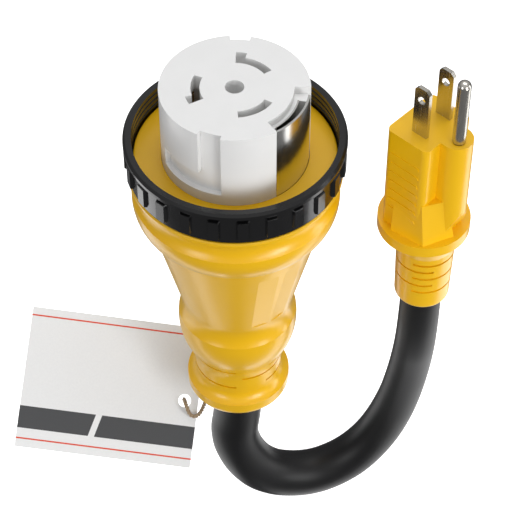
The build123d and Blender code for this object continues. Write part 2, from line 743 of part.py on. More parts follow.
# Bare copper between each wire's insulation and its crimp.
with BuildPart() as copper_cores:
    for place in CONNECTOR_ENDS.values():
        rod(CORE_R - 0.02, BARREL_MOUTH + 6.0, BARREL_MOUTH - 2.0, at=place)
    for place in PLUG_ENDS.values():
        rod(
            CORE_R - 0.02, PLUG_BARREL_MOUTH + 6.0, PLUG_BARREL_MOUTH - 1.5,
            plane=plug_plane, at=place,
        )

# ---------------------------------------------------------------------------
# Plug
# ---------------------------------------------------------------------------


def plug_outline(grow):
    """The plug's face: a rounded block with a boss round the ground pin."""
    depth = PLUG_BODY_BACK + PLUG_BODY_FRONT
    with Locations((PLUG_BODY_SHIFT, (PLUG_BODY_BACK - PLUG_BODY_FRONT) / 2)):
        RectangleRounded(PLUG_BODY_X + 2 * grow, depth + 2 * grow, PLUG_CORNER_R)
    boss_y = PLUG_BOSS_REACH - PLUG_BOSS_R
    with Locations((PLUG_BOSS_X, -boss_y)):
        Circle(PLUG_BOSS_R + grow)
    with Locations((PLUG_BOSS_X, -boss_y / 2)):
        Rectangle(2 * (PLUG_BOSS_R + grow), boss_y)


def carrier_outline(grow):
    """The blade carrier: a block behind the blades and a tongue round the pin."""
    depth = CARRIER_Y_BACK + CARRIER_Y_FRONT
    with Locations((0, (CARRIER_Y_BACK - CARRIER_Y_FRONT) / 2)):
        Rectangle(CARRIER_X + 2 * grow, depth + 2 * grow)
    with Locations((0, GROUND_PIN_Y)):
        Circle(CARRIER_TONGUE_R + grow)
    with Locations((0, GROUND_PIN_Y / 2)):
        Rectangle(2 * (CARRIER_TONGUE_R + grow), -GROUND_PIN_Y)


# Yellow overmould of the plug: block with a ground boss, ribbed grips, a
# finger guard and a short neck; hollow round the blades' tails.
with BuildPart() as plug_body:
    with BuildSketch(plug_plane):
        plug_outline(0)
    extrude(amount=-PLUG_BODY_LENGTH - 1)
    boss_cut = Plane(
        origin=plug_plane.from_local_coords(Vector(0, 0, 0)),
        x_dir=plug_plane.y_dir,
        z_dir=plug_plane.x_dir,
    )
    with BuildSketch(boss_cut):
        with BuildLine():
            Polyline(
                (-PLUG_BOSS_REACH - 1, -PLUG_BODY_LENGTH + 12.0),
                (-PLUG_BOSS_REACH + 0.2, -PLUG_BODY_LENGTH + 11.0),
                (-PLUG_BODY_FRONT - 3.4, -PLUG_BODY_LENGTH - 1.5),
                (-PLUG_BOSS_REACH - 1, -PLUG_BODY_LENGTH - 1.5),
                close=True,
            )
        make_face()
    extrude(amount=PLUG_BOSS_R + PLUG_BOSS_X + 1, both=True, mode=Mode.SUBTRACT)
    for side in (-1, 1):
        for i in range(GRIP_RIBS):
            rib = Plane(
                origin=plug_plane.from_local_coords(
                    Vector(
                        side * (PLUG_BODY_X / 2 - 0.6) + PLUG_BODY_SHIFT,
                        (PLUG_BODY_BACK - PLUG_BODY_FRONT) / 2,
                        -10.5 - i * GRIP_PITCH,
                    )
                ),
                x_dir=plug_plane.y_dir,
                z_dir=plug_plane.x_dir * side,
            )
            with BuildSketch(rib):
                RectangleRounded(GRIP_LENGTH, 2.2, 1.0)
            extrude(amount=0.6 + GRIP_PROUD)
    for points, drop in ((CHIN_TOP, -CHIN_START), (CHIN_END, GUARD_TOP - GUARD_T)):
        with BuildSketch(boot_plane.offset(drop)):
            with BuildLine():
                Polyline(*points, close=True)
            make_face()
    loft()
    rod(GUARD_R, GUARD_TOP, GUARD_TOP - GUARD_T, plane=boot_plane, at=GUARD_AT)
    with BuildSketch(boot_plane.offset(GUARD_TOP - GUARD_T)):
        Circle(NECK_R)
    with BuildSketch(boot_plane.offset(NECK_END)):
        Circle(PLUG_BOOT_R + 0.2)
    loft()
    # hollow: seat of the carrier, then room for the tails and wires
    with BuildSketch(plug_plane.offset(-FACE_SKIN)):
        carrier_outline(FIT)
    extrude(amount=-CARRIER_T - FIT, mode=Mode.SUBTRACT)
    with BuildSketch(plug_plane.offset(-FACE_SKIN - CARRIER_T)):
        with Locations((0, BLADE_LINE_Y)):
            Rectangle(CARRIER_X, BLADE_W + 1)
        with Locations((0, GROUND_PIN_Y)):
            Circle(PLUG_BARREL_R + 0.5)
        with Locations((0, GROUND_PIN_Y / 2)):
            Rectangle(2 * PLUG_BARREL_R + 1, -GROUND_PIN_Y)
    extrude(amount=PLUG_BARREL_MOUTH + FACE_SKIN + CARRIER_T - 4.0, mode=Mode.SUBTRACT)
    rod(PLUG_WIRE_BORE_R, PLUG_SPREAD_Z + 2.0, NECK_END, Mode.SUBTRACT, boot_plane)
    for name in PLUG_ENDS:
        wire(plug_run(name), WIRE_R + 0.2, Mode.SUBTRACT)
    # the blades and the pin pass through the face
    with BuildSketch(plug_plane):
        with Locations((-BLADE_SPACING / 2, BLADE_LINE_Y), (BLADE_SPACING / 2, BLADE_LINE_Y)):
            Rectangle(BLADE_T, BLADE_W)
        with Locations((0, GROUND_PIN_Y)):
            Circle(GROUND_SHANK_R)
    extrude(amount=-FACE_SKIN - FIT, mode=Mode.SUBTRACT)
    rod(GROUND_PIN_R, 0, -GROUND_PIN_DIMPLE, Mode.SUBTRACT, plug_plane, (0, GROUND_PIN_Y))

# Short slotted boot where the cable enters the plug.
with BuildPart() as plug_boot:
    with BuildSketch(boot_plane.offset(NECK_END)):
        Circle(PLUG_BOOT_R + 0.2)
    with BuildSketch(boot_plane.offset(-PLUG_LENGTH)):
        Circle(PLUG_BOOT_END_R)
    loft()
    bottom_edge = plug_boot.edges().group_by(Axis.Z)[0]
    fillet(bottom_edge, radius=1.2)
    rod(CABLE_R, NECK_END, -PLUG_LENGTH, Mode.SUBTRACT, boot_plane)
    for i in range(PLUG_SLOT_COUNT):
        start = PLUG_SLOT_STARTS[i % 2]
        middle = NECK_END - PLUG_SLOT_DROP - i * PLUG_SLOT_PITCH
        flex_slot(PLUG_BOOT_R, middle, start, start + PLUG_SLOT_SPAN, boot_plane)

# Moulded carrier that holds the blades and the ground pin in line.
with BuildPart() as blade_carrier:
    with BuildSketch(plug_plane.offset(-FACE_SKIN - FIT)):
        carrier_outline(0)
        with Locations((-BLADE_SPACING / 2, BLADE_LINE_Y), (BLADE_SPACING / 2, BLADE_LINE_Y)):
            Rectangle(BLADE_T + 0.1, BLADE_W + 0.1, mode=Mode.SUBTRACT)
        with Locations((0, GROUND_PIN_Y)):
            Circle(GROUND_SHANK_R + 0.05, mode=Mode.SUBTRACT)
    extrude(amount=-CARRIER_T + FIT)


def blade(x):
    """A flat blade with a chamfered tip, a hole and a crimp tail."""
    flank = Plane(
        origin=plug_plane.from_local_coords(Vector(x - BLADE_T / 2, BLADE_LINE_Y, 0)),
        x_dir=plug_plane.y_dir,
        z_dir=plug_plane.x_dir,
    )
    with BuildSketch(flank) as profile:
        with BuildLine():
            half, tip = BLADE_W / 2, BLADE_LENGTH
            Polyline(
                (-half, TAIL_DROP), (-half, tip - 1.4), (-half + 1.4, tip),
                (half - 1.4, tip), (half, tip - 1.4), (half, TAIL_DROP),
                close=True,
            )
        make_face()
        with Locations((0, BLADE_LENGTH - BLADE_HOLE_DROP)):
            Circle(BLADE_HOLE_R, mode=Mode.SUBTRACT)
    extrude(profile.sketch, amount=BLADE_T)
    crimp(x, BLADE_LINE_Y, TAIL_DROP)


def crimp(x, y, top):
    """A narrow tail and a crimp barrel under a blade, in the open part."""
    bar(BLADE_T, 4.0, top, -PLUG_BARREL_DROP, plane=plug_plane, at=(x, y))
    rod(PLUG_BARREL_R, -PLUG_BARREL_DROP, PLUG_BARREL_MOUTH, plane=plug_plane, at=(x, y))
    rod(CORE_R, -PLUG_BARREL_DROP - 1, PLUG_BARREL_MOUTH, Mode.SUBTRACT, plug_plane, (x, y))


with BuildPart() as neutral_blade:
    blade(-BLADE_SPACING / 2)

with BuildPart() as line_blade:
    blade(BLADE_SPACING / 2)

# Round ground pin with a domed tip.
with BuildPart() as ground_pin:
    place = (0, GROUND_PIN_Y)
    rod(GROUND_PIN_R, GROUND_PIN_LENGTH, GROUND_PIN_ROOT, plane=plug_plane, at=place)
    fillet(ground_pin.edges().group_by(Axis.Z)[-1], radius=GROUND_PIN_R - 0.2)
    rod(GROUND_SHANK_R, GROUND_PIN_ROOT, TAIL_DROP, plane=plug_plane, at=place)
    crimp(*place, TAIL_DROP)

# ---------------------------------------------------------------------------
# Hang tag and twine
# ---------------------------------------------------------------------------

# Stiff card with one hole near its right-hand edge.
with BuildPart() as hang_tag:
    with BuildSketch(tag_plane):
        Rectangle(TAG_W, TAG_H)
        with Locations((TAG_W / 2 - TAG_HOLE_EDGE, TAG_HOLE_LIFT)):
            Circle(TAG_HOLE_R, mode=Mode.SUBTRACT)
    extrude(amount=TAG_T / 2, both=True)

twine_radii = corner_radii(TWINE_ROUTE)
print("twine radii:", [round(radius, 1) for radius in twine_radii])

with BuildPart() as tag_twine:
    with BuildLine():
        twine_path = FilletPolyline(*TWINE_ROUTE, radius=twine_radii)
    with BuildSketch(Plane(origin=twine_path @ 0, z_dir=twine_path % 0)):
        Circle(TWINE_R)
    sweep()
check_tube("twine", tag_twine.part, TWINE_R, twine_path.length)

# ---------------------------------------------------------------------------
# Export
# ---------------------------------------------------------------------------

pieces = {
    "contact_housing": contact_housing,
    "contact_x": contact_x,
    "contact_y": contact_y,
    "contact_neutral": contact_neutral,
    "ground_shell": ground_shell,
    "ground_clip": ground_clip,
    "terminal_block": terminal_block,
    "hot_bridge": hot_bridge,
    "housing_screws": housing_screws,
    "connector_body": connector_body,
    "ring_retainer": ring_retainer,
    "lock_ring": lock_ring,
    "connector_boot": connector_boot,
    "cable": cable,
    "jacket_ends": jacket_ends,
    "hot_wire": hot_wire,
    "neutral_wire": neutral_wire,
    "ground_wire": ground_wire,
    "copper_cores": copper_cores,
    "plug_body": plug_body,
    "plug_boot": plug_boot,
    "blade_carrier": blade_carrier,
    "line_blade": line_blade,
    "neutral_blade": neutral_blade,
    "ground_pin": ground_pin,
    "hang_tag": hang_tag,
    "tag_twine": tag_twine,
}

os.makedirs("parts", exist_ok=True)
for name, piece in pieces.items():
    piece.part.label = name
    export_step(piece.part, f"parts/{name}.step")
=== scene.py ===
import math

import bmesh
import bpy
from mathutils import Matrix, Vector


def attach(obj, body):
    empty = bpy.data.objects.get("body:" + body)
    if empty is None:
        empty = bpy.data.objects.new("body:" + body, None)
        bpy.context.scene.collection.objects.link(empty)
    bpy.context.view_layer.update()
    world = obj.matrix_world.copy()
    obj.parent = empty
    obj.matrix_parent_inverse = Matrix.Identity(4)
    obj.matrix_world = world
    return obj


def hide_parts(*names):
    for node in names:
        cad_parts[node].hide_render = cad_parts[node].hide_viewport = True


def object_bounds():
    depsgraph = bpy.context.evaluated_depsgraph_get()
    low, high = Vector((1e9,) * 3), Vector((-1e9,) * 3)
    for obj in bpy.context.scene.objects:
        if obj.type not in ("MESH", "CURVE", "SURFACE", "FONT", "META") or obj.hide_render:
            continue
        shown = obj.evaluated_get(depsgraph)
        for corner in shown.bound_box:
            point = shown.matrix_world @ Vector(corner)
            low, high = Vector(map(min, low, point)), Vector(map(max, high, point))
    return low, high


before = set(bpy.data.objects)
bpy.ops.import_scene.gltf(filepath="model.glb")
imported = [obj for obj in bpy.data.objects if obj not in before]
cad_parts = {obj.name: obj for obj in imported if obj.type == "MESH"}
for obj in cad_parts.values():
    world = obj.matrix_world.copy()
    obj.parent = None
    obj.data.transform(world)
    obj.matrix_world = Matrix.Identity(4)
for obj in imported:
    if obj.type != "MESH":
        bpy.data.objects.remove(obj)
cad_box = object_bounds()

# ---------------------------------------------------------------------------
# Studio
# A white sweep under a low soft key on the right, a fill on the left, a strip
# and a small box by the plug, a top light and an even pale sky. The camera
# looks down at 48 degrees with a long lens, as for a catalogue picture.
# ---------------------------------------------------------------------------

CAMERA_PLACE = (0.00896, -0.48342, 0.45436)
CAMERA_PITCH = 48.33
LENS_MM = 134.5
FLOOR_DROP = 0.0015          # gap between the cable's lowest point and the sweep
FLOOR_HALF_WIDTH = 3.0


def linear(hex_colour):
    """An sRGB hex colour as the linear RGBA that the shaders take."""
    channels = [int(hex_colour[i:i + 2], 16) / 255 for i in (0, 2, 4)]
    return [c / 12.92 if c <= 0.04045 else ((c + 0.055) / 1.055) ** 2.4 for c in channels] + [1.0]


def add_node(tree, kind, settings=None, links=None):
    """Add one node, set its values or inputs by name and link outputs to its inputs."""
    node = tree.nodes.new(kind)
    for name, value in (settings or {}).items():
        if isinstance(name, str) and hasattr(node, name):
            setattr(node, name, value)
        else:
            node.inputs[name].default_value = value
    for name, output in (links or {}).items():
        tree.links.new(output, node.inputs[name])
    return node


def new_finish(name, **settings):
    """A material with one principled shader, returned with its tree and shader."""
    finish = bpy.data.materials.new(name)
    finish.use_nodes = True
    tree = finish.node_tree
    tree.nodes.clear()
    shader = add_node(tree, "ShaderNodeBsdfPrincipled", settings)
    add_node(tree, "ShaderNodeOutputMaterial", links={"Surface": shader.outputs["BSDF"]})
    return finish, tree, shader


camera = bpy.data.objects.new("camera", bpy.data.cameras.new("camera"))
camera.data.lens = LENS_MM
camera.data.sensor_width = 36.0
camera.data.clip_start = 0.01
camera.location = CAMERA_PLACE
camera.rotation_euler = (math.radians(90 - CAMERA_PITCH), 0, 0)
bpy.context.scene.collection.objects.link(camera)
bpy.context.scene.camera = camera
bpy.context.scene.view_settings.view_transform = "Standard"


def softbox(name, place, target, size, power, tint="FFFFFF"):
    """A rectangular area light at a place, turned towards a target."""
    light = bpy.data.lights.new(name, "AREA")
    light.shape = "RECTANGLE"
    light.size, light.size_y = size
    light.energy = power
    light.color = linear(tint)[:3]
    box = bpy.data.objects.new(name, light)
    box.location = place
    aim = Vector(target) - Vector(place)
    box.rotation_euler = aim.to_track_quat("-Z", "Y").to_euler()
    box.visible_camera = False
    bpy.context.scene.collection.objects.link(box)


softbox("key_right", (0.50, -0.72, 0.16), (0.02, 0, -0.10), (0.40, 0.40), 1.6)
softbox("fill_left", (-0.52, -0.72, 0.12), (0.03, 0, -0.08), (0.30, 0.50), 2.1)
softbox("strip_right", (0.80, -0.05, -0.02), (0.03, 0, -0.08), (0.14, 0.6), 1.5)
softbox("near_plug", (0.27, -0.30, -0.03), (0.07, 0, -0.06), (0.10, 0.22), 0.5)
softbox("top", (0.1, 0.15, 0.8), (0, 0, -0.05), (0.6, 0.5), 2.5)
# two dim boxes low on each side, which the plated shell and the ribs mirror
for side in (-1, 1):
    softbox("low_back", (side * 0.185, 0.02, -0.22), (side * 0.06, 0.02, 0.1), (0.13, 0.36), 0.26)

world = bpy.data.worlds.new("pale_sky")
bpy.context.scene.world = world
world.use_nodes = True
sky = world.node_tree
sky.nodes.clear()
direction = add_node(sky, "ShaderNodeTexCoord")
height = add_node(sky, "ShaderNodeSeparateXYZ", links={"Vector": direction.outputs["Generated"]})
fade = add_node(sky, "ShaderNodeValToRGB", links={"Fac": height.outputs["Z"]})
fade.color_ramp.elements[0].color = (0.26, 0.26, 0.265, 1)
fade.color_ramp.elements[1].position = 0.9
fade.color_ramp.elements[1].color = (0.95, 0.95, 0.96, 1)
glow = add_node(sky, "ShaderNodeBackground", {"Strength": 0.7}, {"Color": fade.outputs["Color"]})
add_node(sky, "ShaderNodeOutputWorld", links={"Surface": glow.outputs["Background"]})

floor_mesh = bpy.data.meshes.new("floor")
floor_z = cad_box[0][2] - FLOOR_DROP
floor_corners = [
    (x * FLOOR_HALF_WIDTH, y * FLOOR_HALF_WIDTH, floor_z)
    for x, y in ((-1, -1), (1, -1), (1, 1), (-1, 1))
]
floor_mesh.from_pydata(floor_corners, [], [(0, 1, 2, 3)])
floor = bpy.data.objects.new("floor", floor_mesh)
bpy.context.scene.collection.objects.link(floor)
paper, tree, shader = new_finish(
    "white_paper_sweep", Roughness=0.9, **{
        "Base Color": linear("F7F7F7"), "Emission Color": linear("FFFFFF"),
        "Emission Strength": 0.8, "Specular IOR Level": 0.1,
    }
)
floor_mesh.materials.append(paper)
# the sweep shows white behind the object but throws no light back up at it
floor.visible_diffuse = False
floor.visible_glossy = False

# ---------------------------------------------------------------------------
# Cable
# Three 10 AWG conductors in one round black thermoplastic-rubber jacket,
# extruded, so its skin is satin with faint die lines along it. It leaves the
# connector's boot straight down and turns up in a tight J into the plug.
# ---------------------------------------------------------------------------

CABLE_DIAMETER = 0.0175
# The route's corners in metres, and the jacket's thickness at each
CABLE_ROUTE = [
    ((0.0, 0.0, -0.158), 1.10),
    ((0.0, 0.0, -0.1755), 1.10),
    ((-0.003, -0.003, -0.195), 1.11),
    ((0.008, -0.003, -0.218), 1.12),
    ((0.0275, 0.0005, -0.226), 1.10),
    ((0.0445, 0.0045, -0.221), 1.06),
    ((0.057, 0.0075, -0.207), 1.01),
    ((0.065, 0.008, -0.1845), 0.97),
    ((0.0685, 0.004, -0.155), 0.93),
    ((0.0692, -0.0036, -0.124), 0.90),
    ((0.0692, -0.0036, -0.0998), 0.88),
]


def route_curve(name, points, radius, widths=None):
    """A round cord on one NURBS spline through the corners of its route."""
    curve = bpy.data.curves.new(name, "CURVE")
    curve.dimensions = "3D"
    curve.resolution_u = 16
    curve.bevel_depth = radius
    curve.bevel_resolution = 10
    curve.use_fill_caps = True
    spline = curve.splines.new("NURBS")
    spline.points.add(len(points) - 1)
    for point, place in zip(spline.points, points):
        point.co = (*place, 1.0)
    for point, width in zip(spline.points, widths or []):
        point.radius = width
    spline.order_u = 3
    spline.use_endpoint_u = True
    cord = bpy.data.objects.new(name, curve)
    bpy.context.scene.collection.objects.link(cord)
    return cord


jacket, tree, shader = new_finish("tpe_jacket_black", IOR=1.5, **{"Specular IOR Level": 0.3})
place = add_node(tree, "ShaderNodeTexCoord")
# 0.35 mm pebbling left by the extruder, drawn a little coarse so it shows
pebble = add_node(
    tree, "ShaderNodeTexNoise", {"Scale": 1 / 0.0011, "Detail": 4.0, "Roughness": 0.6},
    {"Vector": place.outputs["Object"]},
)
smear = add_node(
    tree, "ShaderNodeTexNoise", {"Scale": 1 / 0.018, "Detail": 3.0},
    {"Vector": place.outputs["Object"]},
)
shade = add_node(tree, "ShaderNodeValToRGB", links={"Fac": smear.outputs["Fac"]})
shade.color_ramp.elements[0].color = linear("0E0E0F")
shade.color_ramp.elements[1].color = linear("181819")
gloss = add_node(
    tree, "ShaderNodeMapRange", {"To Min": 0.40, "To Max": 0.52}, {"Value": smear.outputs["Fac"]}
)
relief = add_node(
    tree, "ShaderNodeBump", {"Strength": 0.22, "Distance": 0.00006},
    {"Height": pebble.outputs["Fac"]},
)
tree.links.new(shade.outputs["Color"], shader.inputs["Base Color"])
tree.links.new(gloss.outputs["Result"], shader.inputs["Roughness"])
tree.links.new(relief.outputs["Normal"], shader.inputs["Normal"])

cable = route_curve(
    "cable_jacket", [p for p, _ in CABLE_ROUTE], CABLE_DIAMETER / 2, [w for _, w in CABLE_ROUTE]
)
cable.data.materials.append(jacket)
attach(cable, "adapter")
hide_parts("cable")


def dress(finish, *names):
    """Give CAD nodes a finish in each of their material slots."""
    for name in names:
        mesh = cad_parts[name].data
        for i in range(len(mesh.materials)):
            mesh.materials[i] = finish
        if not mesh.materials:
            mesh.materials.append(finish)


dress(jacket, "jacket_ends")

# ---------------------------------------------------------------------------
# Connector nose
# Injection-moulded white nylon. It is semi-gloss with a fine spark-eroded
# texture, and its foot picks up the yellow of the disc below.
# ---------------------------------------------------------------------------

nylon, tree, shader = new_finish(
    "moulded_nylon_white", IOR=1.53, **{"Coat Weight": 0.08}
)
place = add_node(tree, "ShaderNodeTexCoord")
clouds = add_node(
    tree, "ShaderNodeTexNoise", {"Scale": 1 / 0.012, "Detail": 3.0},
    {"Vector": place.outputs["Object"]},
)
shade = add_node(tree, "ShaderNodeValToRGB", links={"Fac": clouds.outputs["Fac"]})
shade.color_ramp.elements[0].color = linear("E9E9E8")
shade.color_ramp.elements[1].color = linear("F1F1F0")
# spark-eroded grain of about 0.15 mm, drawn at 0.5 mm so that it shows
grain = add_node(
    tree, "ShaderNodeTexNoise", {"Scale": 1 / 0.0005, "Detail": 2.0},
    {"Vector": place.outputs["Object"]},
)
relief = add_node(
    tree, "ShaderNodeBump", {"Strength": 0.12, "Distance": 0.00004},
    {"Height": grain.outputs["Fac"]},
)
gloss = add_node(
    tree, "ShaderNodeMapRange", {"To Min": 0.30, "To Max": 0.42}, {"Value": grain.outputs["Fac"]}
)
tree.links.new(shade.outputs["Color"], shader.inputs["Base Color"])
tree.links.new(gloss.outputs["Result"], shader.inputs["Roughness"])
tree.links.new(relief.outputs["Normal"], shader.inputs["Normal"])
dress(nylon, "contact_housing")

# ---------------------------------------------------------------------------
# Metal of the connector
# The ground shell is nickel-chromium plated brass, rolled and flush with the
# nose, and the ground clip behind it is plated too. The leaves and the strap
# behind the slots are bare brass.
# ---------------------------------------------------------------------------

plate, tree, shader = new_finish(
    "chrome_plate", Metallic=1.0, **{"Base Color": linear("D9D8D4")}
)
place = add_node(tree, "ShaderNodeTexCoord")
stretch = add_node(
    tree, "ShaderNodeMapping", {"Scale": (1.0, 1.0, 0.08)}, {"Vector": place.outputs["Object"]}
)
# rolling lines about 0.3 mm apart that run up the shell
lines = add_node(
    tree, "ShaderNodeTexNoise", {"Scale": 1 / 0.0006, "Detail": 2.0},
    {"Vector": stretch.outputs["Vector"]},
)
gloss = add_node(
    tree, "ShaderNodeMapRange", {"To Min": 0.12, "To Max": 0.24}, {"Value": lines.outputs["Fac"]}
)
tree.links.new(gloss.outputs["Result"], shader.inputs["Roughness"])
dress(plate, "ground_shell", "ground_clip")

brass, tree, shader = new_finish("stamped_brass", Metallic=1.0)
place = add_node(tree, "ShaderNodeTexCoord")
tarnish = add_node(
    tree, "ShaderNodeTexNoise", {"Scale": 1 / 0.004, "Detail": 4.0},
    {"Vector": place.outputs["Object"]},
)
shade = add_node(tree, "ShaderNodeValToRGB", links={"Fac": tarnish.outputs["Fac"]})
shade.color_ramp.elements[0].color = linear("B08A48")
shade.color_ramp.elements[1].color = linear("D8B46A")
gloss = add_node(
    tree, "ShaderNodeMapRange", {"To Min": 0.22, "To Max": 0.40}, {"Value": tarnish.outputs["Fac"]}
)
tree.links.new(shade.outputs["Color"], shader.inputs["Base Color"])
tree.links.new(gloss.outputs["Result"], shader.inputs["Roughness"])
dress(brass, "contact_x", "contact_y", "contact_neutral", "hot_bridge")

# ---------------------------------------------------------------------------
# Yellow overmould
# Flexible PVC moulded over the connector and the plug: body, retainer disc,
# both boots. It is glossy, saturated, and slightly waxy where it was polished
# by the mould.
# ---------------------------------------------------------------------------

pvc, tree, shader = new_finish(
    "moulded_pvc_yellow", IOR=1.5, **{"Coat Weight": 0.25, "Coat Roughness": 0.18}
)
place = add_node(tree, "ShaderNodeTexCoord")
flow = add_node(
    tree, "ShaderNodeTexNoise", {"Scale": 1 / 0.03, "Detail": 3.0, "Distortion": 0.4},
    {"Vector": place.outputs["Object"]},
)
shade = add_node(tree, "ShaderNodeValToRGB", links={"Fac": flow.outputs["Fac"]})
shade.color_ramp.elements[0].color = linear("EDB604")
shade.color_ramp.elements[1].color = linear("F3BF0A")
# the mould's own satin, about 0.2 mm, drawn at 0.7 mm so that it shows
satin = add_node(
    tree, "ShaderNodeTexNoise", {"Scale": 1 / 0.0007, "Detail": 3.0},
    {"Vector": place.outputs["Object"]},
)
gloss = add_node(
    tree, "ShaderNodeMapRange", {"To Min": 0.26, "To Max": 0.38}, {"Value": satin.outputs["Fac"]}
)
relief = add_node(
    tree, "ShaderNodeBump", {"Strength": 0.10, "Distance": 0.00005},
    {"Height": satin.outputs["Fac"]},
)
tree.links.new(shade.outputs["Color"], shader.inputs["Base Color"])
tree.links.new(gloss.outputs["Result"], shader.inputs["Roughness"])
tree.links.new(relief.outputs["Normal"], shader.inputs["Normal"])
dress(pvc, "connector_body", "ring_retainer", "connector_boot", "plug_body", "plug_boot")

# ---------------------------------------------------------------------------
# Lock ring
# Moulded black ABS, highly polished, with grip ribs round its side and a
# thread inside. Its highlights are sharp along the rim and the ribs.
# ---------------------------------------------------------------------------

abs_black, tree, shader = new_finish(
    "moulded_abs_black", IOR=1.52, **{"Coat Weight": 0.2, "Coat Roughness": 0.06}
)
place = add_node(tree, "ShaderNodeTexCoord")
handling = add_node(
    tree, "ShaderNodeTexNoise", {"Scale": 1 / 0.006, "Detail": 5.0, "Roughness": 0.7},
    {"Vector": place.outputs["Object"]},
)
shade = add_node(tree, "ShaderNodeValToRGB", links={"Fac": handling.outputs["Fac"]})
shade.color_ramp.elements[0].color = linear("060607")
shade.color_ramp.elements[1].color = linear("0B0B0C")
gloss = add_node(
    tree, "ShaderNodeMapRange", {"To Min": 0.12, "To Max": 0.26}, {"Value": handling.outputs["Fac"]}
)
tree.links.new(shade.outputs["Color"], shader.inputs["Base Color"])
tree.links.new(gloss.outputs["Result"], shader.inputs["Roughness"])
dress(abs_black, "lock_ring")

# ---------------------------------------------------------------------------
# Blades and ground pin of the plug
# Nickel-plated brass, blanked from strip and turned from rod. The plating is
# bright with fine drawing lines along the blades.
# ---------------------------------------------------------------------------

nickel, tree, shader = new_finish("nickel_plate", Metallic=1.0)
place = add_node(tree, "ShaderNodeTexCoord")
stretch = add_node(
    tree, "ShaderNodeMapping", {"Scale": (1.0, 1.0, 0.05)}, {"Vector": place.outputs["Object"]}
)
drawing = add_node(
    tree, "ShaderNodeTexNoise", {"Scale": 1 / 0.0004, "Detail": 2.0},
    {"Vector": stretch.outputs["Vector"]},
)
shade = add_node(tree, "ShaderNodeValToRGB", links={"Fac": drawing.outputs["Fac"]})
shade.color_ramp.elements[0].color = linear("B9B5AC")
shade.color_ramp.elements[1].color = linear("DAD7CF")
gloss = add_node(
    tree, "ShaderNodeMapRange", {"To Min": 0.16, "To Max": 0.32}, {"Value": drawing.outputs["Fac"]}
)
tree.links.new(shade.outputs["Color"], shader.inputs["Base Color"])
tree.links.new(gloss.outputs["Result"], shader.inputs["Roughness"])
dress(nickel, "line_blade", "neutral_blade", "ground_pin")

# ---------------------------------------------------------------------------
# Inside of the two ends
# Glass-filled black nylon for the terminal block and the blade carrier, zinc
# plated screws, PVC insulation in black, white and green, and bare copper.
# ---------------------------------------------------------------------------


def inner_finish(name, dark, light, grain_m, rough, metallic=0.0):
    """A plain two-tone finish for a piece inside the housings."""
    finish, tree, shader = new_finish(name, Metallic=metallic)
    place = add_node(tree, "ShaderNodeTexCoord")
    mottle = add_node(
        tree, "ShaderNodeTexNoise", {"Scale": 1 / grain_m, "Detail": 3.0},
        {"Vector": place.outputs["Object"]},
    )
    shade = add_node(tree, "ShaderNodeValToRGB", links={"Fac": mottle.outputs["Fac"]})
    shade.color_ramp.elements[0].color = linear(dark)
    shade.color_ramp.elements[1].color = linear(light)
    gloss = add_node(
        tree, "ShaderNodeMapRange", {"To Min": rough - 0.06, "To Max": rough + 0.06},
        {"Value": mottle.outputs["Fac"]},
    )
    tree.links.new(shade.outputs["Color"], shader.inputs["Base Color"])
    tree.links.new(gloss.outputs["Result"], shader.inputs["Roughness"])
    return finish


glass_nylon = inner_finish("glass_filled_nylon_black", "101010", "1C1C1C", 0.0012, 0.5)
dress(glass_nylon, "terminal_block", "blade_carrier")
dress(inner_finish("zinc_plated_steel", "9A9A98", "B8B8B5", 0.0010, 0.3, 1.0), "housing_screws")
dress(inner_finish("pvc_insulation_black", "141414", "202020", 0.0020, 0.42), "hot_wire")
dress(inner_finish("pvc_insulation_white", "D9D8D2", "E6E5E0", 0.0020, 0.42), "neutral_wire")
dress(inner_finish("pvc_insulation_green", "1C6B30", "268040", 0.0020, 0.42), "ground_wire")
dress(inner_finish("bare_copper", "A8623C", "C98058", 0.0006, 0.3, 1.0), "copper_cores")

# ---------------------------------------------------------------------------
# Hang tag
# White coated board, 0.6 mm thick, die-cut with sharp corners and one hole,
# printed with two thin red rules and a dark band that a slanted gap splits.
# It hangs slightly bowed from its hole.
# ---------------------------------------------------------------------------

TAG_WIDTH = 0.071
TAG_HEIGHT = 0.0565
TAG_THICKNESS = 0.0006
TAG_HOLE = (0.0299, -0.0016)
TAG_HOLE_RADIUS = 0.0026
TAG_CENTRE = (-0.0513, 0.0016, -0.1672)
TAG_ACROSS = (0.989, -0.054, -0.138)
TAG_OUTWARD = (0.076, -0.613, 0.786)
TAG_BOW = 0.0005
TAG_SPOKES = 96              # rows of faces from the hole out to the edge
TAG_STEPS = 12               # faces along each row
TAG_STEP_GROWTH = 1.4        # how much the faces grow away from the hole
RULE_TOP = 0.0250
RULE_BOTTOM = -0.0247
RULE_WIDTH = 0.0006
BAND_TOP = -0.0117
BAND_BOTTOM = -0.0206
BAND_GAP = -0.0046           # middle of the gap, half way down the band
BAND_GAP_WIDTH = 0.0025
BAND_GAP_SLANT = 0.25

tag_normal = Vector(TAG_OUTWARD).normalized()
tag_across = Vector(TAG_ACROSS)
tag_across = (tag_across - tag_normal * tag_across.dot(tag_normal)).normalized()
tag_up = tag_normal.cross(tag_across)


def card_outline(x, y):
    """Where a ray from the hole through a direction meets the card's edge."""
    reach_x = (TAG_WIDTH / 2 - math.copysign(1, x) * TAG_HOLE[0]) / max(abs(x), 1e-9)
    reach_y = (TAG_HEIGHT / 2 - math.copysign(1, y) * TAG_HOLE[1]) / max(abs(y), 1e-9)
    return min(reach_x, reach_y)


